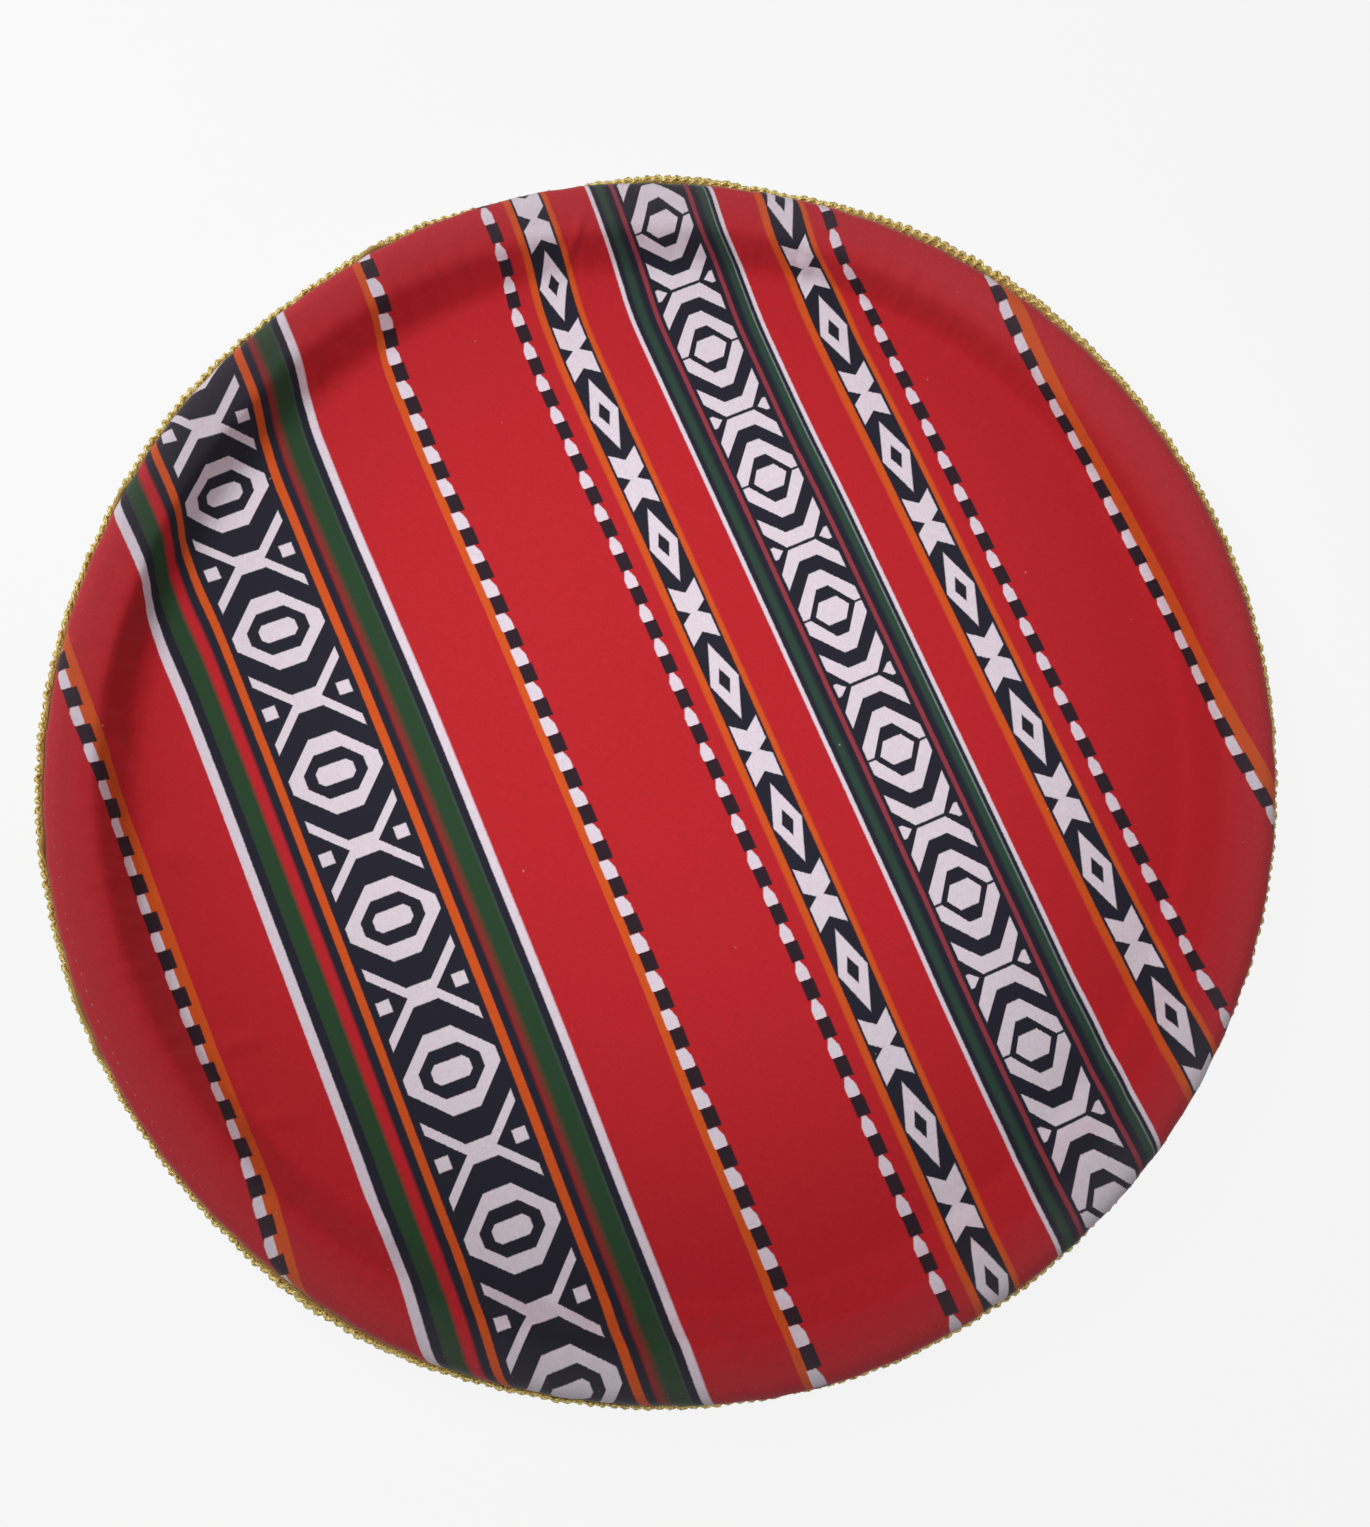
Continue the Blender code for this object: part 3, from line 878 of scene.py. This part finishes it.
def braid_middle(azimuth):
    """Radius and height of the middle of the braid. Its upper edge touches the rolled edge."""
    top = braid_top(azimuth)
    below = np.clip(BEAD[1] - top, 0.0, 2.8)
    radius = (BEAD[0] + np.sqrt(BEAD_COVERED ** 2 - below ** 2) + edge_stands_out(azimuth) + 0.1
              + loops_open(azimuth) + THICK_CORD)
    return radius, top - rim_droops(azimuth, BEAD[0]) - BRAID_HALF_HEIGHT - THICK_CORD


def swept_cord(name, line, thickness, twist_pitch, sides):
    """A closed two-ply cord along a closed line, with its length and turn in a UV map."""
    count = len(line)
    ahead = np.roll(line, -1, axis=0) - np.roll(line, 1, axis=0)
    ahead /= np.linalg.norm(ahead, axis=1)[:, None]
    outwards = line * np.array([1.0, 1.0, 0.0])
    outwards /= np.linalg.norm(outwards, axis=1)[:, None]
    first = outwards - (outwards * ahead).sum(axis=1)[:, None] * ahead
    first /= np.linalg.norm(first, axis=1)[:, None]
    second = np.cross(ahead, first)
    gone = np.concatenate(([0.0], np.cumsum(np.linalg.norm(np.diff(line, axis=0), axis=1))))
    whole = gone[-1] + np.linalg.norm(line[0] - line[-1])
    twist = gone / whole * round(whole / twist_pitch) * math.tau
    angles = np.arange(sides) * math.tau / sides
    ply = 1.0 - 0.26 * np.abs(np.sin(angles[None, :] - twist[:, None]))
    rings = (line[:, None, :] + thickness * ply[:, :, None]
             * (np.cos(angles)[None, :, None] * first[:, None, :]
                + np.sin(angles)[None, :, None] * second[:, None, :]))
    here = np.arange(count)[:, None] * sides
    there = np.roll(np.arange(count), -1)[:, None] * sides
    left, right = np.arange(sides)[None, :], np.roll(np.arange(sides), -1)[None, :]
    faces = np.stack([here + left, here + right, there + right, there + left], axis=2).reshape(-1, 4)
    mesh = bpy.data.meshes.new(name)
    mesh.from_pydata((rings.reshape(-1, 3) * MM).tolist(), [], faces.tolist())
    lay_turn = np.repeat(np.arange(sides), 4).reshape(sides, 4) + np.array([0, 1, 1, 0])
    across_cord = np.tile(lay_turn.ravel() / sides, count)
    along_cord = np.append(gone, whole)
    rows = np.repeat(np.arange(count), sides * 4).reshape(-1, 4) + np.array([0, 0, 1, 1])
    cord_map = mesh.uv_layers.new(name="cord_lay")
    lay_in_cord = np.stack([along_cord[rows.ravel()] * MM, across_cord], axis=1)
    cord_map.data.foreach_set("uv", lay_in_cord.ravel())
    mesh.shade_smooth()
    cord = bpy.data.objects.new(name, mesh)
    bpy.context.scene.collection.objects.link(cord)
    return cord


def looped_line(points_per_loop, handed, lead, height, swell):
    """A closed line that loops round the tape as it goes round the tray."""
    loop_turn = np.arange(LOOPS * points_per_loop) * math.tau / points_per_loop
    round_way = loop_turn / LOOPS
    uneven = (0.45 * np.sin(137 * round_way) + 0.4 * np.sin(83 * round_way + 1.0)
              + 0.2 * np.sin(14 * round_way))
    azimuth = np.degrees(round_way)
    radius, level = braid_middle(azimuth)
    depth = (loops_open(azimuth) + swell) * (1.0 + 0.25 * np.sin(101 * round_way + 2.0))
    lean = 1.1 + 0.45 * np.sin(9 * round_way + 1.0) + 0.45 * np.sin(31 * round_way)
    along_way = lean * np.sin(loop_turn + lead)
    azimuth = azimuth - np.degrees(along_way / radius)
    radius = radius + handed * depth * np.sin(loop_turn + lead)
    level = level - (height + uneven * 0.6) * np.cos(loop_turn + lead)
    turn = np.radians(azimuth)
    return np.stack([radius * np.cos(turn), radius * np.sin(turn), level], axis=1)


THICK_TWIST = 3.4
THIN_TWIST = 2.2
thick_cord = swept_cord("braid_thick_cord", looped_line(20, 1.0, 0.0, BRAID_HALF_HEIGHT, 0.0),
                        THICK_CORD, THICK_TWIST, 10)
thin_cord = swept_cord("braid_thin_cord",
                       looped_line(16, -1.0, math.pi, BRAID_HALF_HEIGHT, -0.15),
                       THIN_CORD, THIN_TWIST, 8)

gold_finish, gold_tree, gold_shader = new_finish("gold_yarn", (0.70, 0.52, 0.10), 0.34)
gold_shader.inputs["Metallic"].default_value = 0.2
cord_lay = add_node(gold_tree, "ShaderNodeUVMap", uv_map="cord_lay")
# Painted glints and painted shade: along the filaments the yarn's colour swings between a dark
# shaded gold and a bright glinting gold. The same noise gives the filaments their relief.
filaments = stretched_place(gold_tree, cord_lay.outputs[0], (420.0, 4.0, 1.0))
glitter = noise_in(gold_tree, filaments, 3.0, noise_dimensions="2D")
PAINTED_SHADE_GOLD = (0.30, 0.15, 0.015)
PAINTED_GLINT_GOLD = (1.0, 0.83, 0.27)
painted_glint_share = sum_node(gold_tree, "MULTIPLY_ADD", glitter, 4.2, -1.5, clamped=True)
gold_tree.links.new(mixed(gold_tree, painted_glint_share, PAINTED_SHADE_GOLD, PAINTED_GLINT_GOLD),
                    gold_shader.inputs["Base Color"])
gold_tree.links.new(relief_from(gold_tree, glitter, 0.6, 0.0003), gold_shader.inputs["Normal"])
for cord in (thick_cord, thin_cord):
    cord.data.materials.append(gold_finish)
    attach(cord, "root")

# The tape that the cords wrap, which shows as a pale sliver where the braid has come away
TAPE_HALF = 2.6
TAPE_THICKNESS = 1.3
bpy.ops.object.select_all(action="DESELECT")
bpy.ops.mesh.primitive_cylinder_add(vertices=720, radius=0.25, depth=2 * TAPE_HALF * MM,
                                    end_fill_type="NOTHING", location=(0.0, 0.0, 0.0))
tape = bpy.context.object
tape.name = "braid_tape"
bpy.ops.object.mode_set(mode="EDIT")
bpy.ops.mesh.select_all(action="SELECT")
bpy.ops.mesh.subdivide(number_cuts=1)
bpy.ops.object.mode_set(mode="OBJECT")
tape_points = points_of(tape)
tape_azimuth = np.degrees(np.arctan2(tape_points[:, 1], tape_points[:, 0])) % 360.0
tape_radius, tape_level = braid_middle(tape_azimuth)
tape_lift = bumps_round(tape_azimuth, TAPE_LIFTS)
tape_turn = np.radians(tape_azimuth)
tape_radius = tape_radius - 0.3 - 0.3 * tape_lift
tape_points[:, 0] = tape_radius * np.cos(tape_turn)
tape_points[:, 1] = tape_radius * np.sin(tape_turn)
tape_points[:, 2] += tape_level + 2.4 * tape_lift * (tape_points[:, 2] > 0.0)
set_points(tape, tape_points)
give_thickness(tape, TAPE_THICKNESS)
tape_finish, tape_tree, tape_shader = new_finish("braid_tape", (0.40, 0.31, 0.14), 0.8)
tape_weave = noise_in(tape_tree, object_place(tape_tree), 1800.0)
tape_tree.links.new(mixed(tape_tree, tape_weave, (0.34, 0.19, 0.035), (0.66, 0.46, 0.15)),
                    tape_shader.inputs["Base Color"])
tape.data.materials.append(tape_finish)
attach(tape, "root")
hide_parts("gold_braid")

# Waddings. A thin felt disc on the floor and a felt ring on the flange, under the cover.
# Neither is seen.
felt_finish, felt_tree, felt_shader = new_finish("felt", (0.72, 0.69, 0.62), 0.95)
felt_fibres = noise_in(felt_tree, object_place(felt_tree), 900.0, 4.0)
felt_tree.links.new(mixed(felt_tree, felt_fibres, (0.55, 0.51, 0.44), (0.86, 0.84, 0.78)),
                    felt_shader.inputs["Base Color"])
felt_tree.links.new(relief_from(felt_tree, felt_fibres, 0.5, 0.0005),
                    felt_shader.inputs["Normal"])

floor_felt_section = Section([(0.0, 3.9), (217.0, 3.9), (218.3, 3.6), (218.6, 3.0),
                              (218.3, 2.4), (217.0, 2.2), (0.0, 2.2)])
floor_felt_lengths = np.array([0.0, 100.0, 190.0, 216.9, 217.8, 218.9, 219.5, 220.2, 221.5,
                               330.0, 437.8])
rim_felt_section = Section([(234.6, 21.6), (235.2, 22.4), (243.6, 26.3), (244.4, 26.1),
                            (244.2, 25.9), (235.6, 21.7), (234.6, 21.6)])
for name, section, lengths, solid in (
    ("floor_felt", floor_felt_section, floor_felt_lengths, "floor_wadding"),
    ("rim_felt", rim_felt_section, rim_felt_section.lengths, "rim_wadding"),
):
    felt = turned_sheet(name, section, lengths, 240)
    bent(felt)
    felt.data.materials.append(felt_finish)
    bpy.ops.object.shade_smooth()
    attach(felt, "root")
    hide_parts(solid)

# Lining. Plain dark red cloth glued to the underside, cut just short of the rolled edge.
# The weave shows, and it is a little faded where the tray has slid on tables.
LINING_FOOT = (224.3, 0.0)
LINING_CREST = (232.2, 16.9)
LINING_END = (243.6, 22.2)
lining_section = Section(
    [(0.0, 0.0)]
    + rounded_corner((0.0, 0.0), LINING_FOOT, LINING_CREST, 6.8)
    + rounded_corner(LINING_FOOT, LINING_CREST, LINING_END, 2.6)
    + [LINING_END]
)
lining_lengths = np.concatenate([
    [0, 40, 80, 120, 150, 175, 190, 200, 208, 214],
    np.arange(217.0, lining_section.lengths[-1], 1.8),
    [lining_section.lengths[-1]],
])
lining = turned_sheet("lining", lining_section, lining_lengths, 480)
bent(lining)
face_towards(lining, (0, 0, -1))
LINING_THICKNESS = 0.6
give_thickness(lining, LINING_THICKNESS)
DARK_RED = (0.11, 0.007, 0.012)
RUBBED_RED = (0.22, 0.020, 0.028)
YARN_RED = (0.30, 0.035, 0.045)
lining_finish, lining_tree, lining_shader = new_finish("lining_cloth", (0.16, 0.012, 0.018), 0.9)
lining_place = object_place(lining_tree)
lining_weave = sum_node(lining_tree, "ADD", *(
    noise_in(lining_tree, stretched_place(lining_tree, lining_place, scale), 1.0)
    for scale in ((220.0, 1900.0, 220.0), (1900.0, 220.0, 220.0))))
lining_rub = noise_in(lining_tree, lining_place, 14.0)
lining_dye = mixed(lining_tree, lining_rub, DARK_RED, RUBBED_RED)
raised_yarns = sum_node(lining_tree, "MULTIPLY_ADD", lining_weave, 1.4, -0.9, clamped=True)
lining_tree.links.new(mixed(lining_tree, raised_yarns, lining_dye, YARN_RED),
                      lining_shader.inputs["Base Color"])
lining_tree.links.new(relief_from(lining_tree, lining_weave, 0.35, 0.0002),
                      lining_shader.inputs["Normal"])
lining.data.materials.append(lining_finish)
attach(lining, "root")
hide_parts("under_cloth")

# Pressed tray. Worn grey enamel on sheet steel between the cloths. Only a thin ring of its
# rolled edge shows underneath. It is bent a little on the near side, as the rim shows.
BEAD_RADIUS = 2.0
bead_angles = [math.radians(degrees) for degrees in range(115, -156, -15)]
shell_bead = [Vector(BEAD) + Vector((math.cos(a), math.sin(a))) * BEAD_RADIUS for a in bead_angles]
SHELL_TOP = 1.8
SHELL_FOOT = (223.0, SHELL_TOP)
SHELL_CREST = (231.35, 19.5)
SHELL_SHOULDER = (245.75, 26.21)
shell_section = Section(
    [(0.0, SHELL_TOP)]
    + rounded_corner((0.0, SHELL_TOP), SHELL_FOOT, SHELL_CREST, 5.0)
    + rounded_corner(SHELL_FOOT, SHELL_CREST, SHELL_SHOULDER, 4.0)
    + shell_bead
)
bead_start = shell_section.length_at(245.7, 26.0)
shell_lengths = np.concatenate([
    [0, 60, 120, 170, 205, 216, 218.5],
    np.arange(220.0, bead_start, 1.6),
    np.linspace(bead_start, shell_section.lengths[-1], 14),
])
pressed_tray = turned_sheet("pressed_tray", shell_section, shell_lengths, 480)
bent(pressed_tray)
face_towards(pressed_tray, (0, 0, 1))
SHEET_THICKNESS = 0.8
give_thickness(pressed_tray, SHEET_THICKNESS)
ENAMEL_GREY = (0.43, 0.41, 0.38)
WORN_STEEL = (0.12, 0.09, 0.07)
enamel_finish, enamel_tree, enamel_shader = new_finish("tray_enamel", (0.42, 0.40, 0.37), 0.45)
enamel_wear = noise_in(enamel_tree, object_place(enamel_tree), 60.0, 6.0)
worn = sum_node(enamel_tree, "MULTIPLY_ADD", enamel_wear, 14.0, -8.9, clamped=True)
enamel_tree.links.new(mixed(enamel_tree, worn, ENAMEL_GREY, WORN_STEEL),
                      enamel_shader.inputs["Base Color"])
enamel_tree.links.new(sum_node(enamel_tree, "MULTIPLY_ADD", worn, 0.3, 0.42),
                      enamel_shader.inputs["Roughness"])
pressed_tray.data.materials.append(enamel_finish)
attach(pressed_tray, "root")
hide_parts("tray_shell")
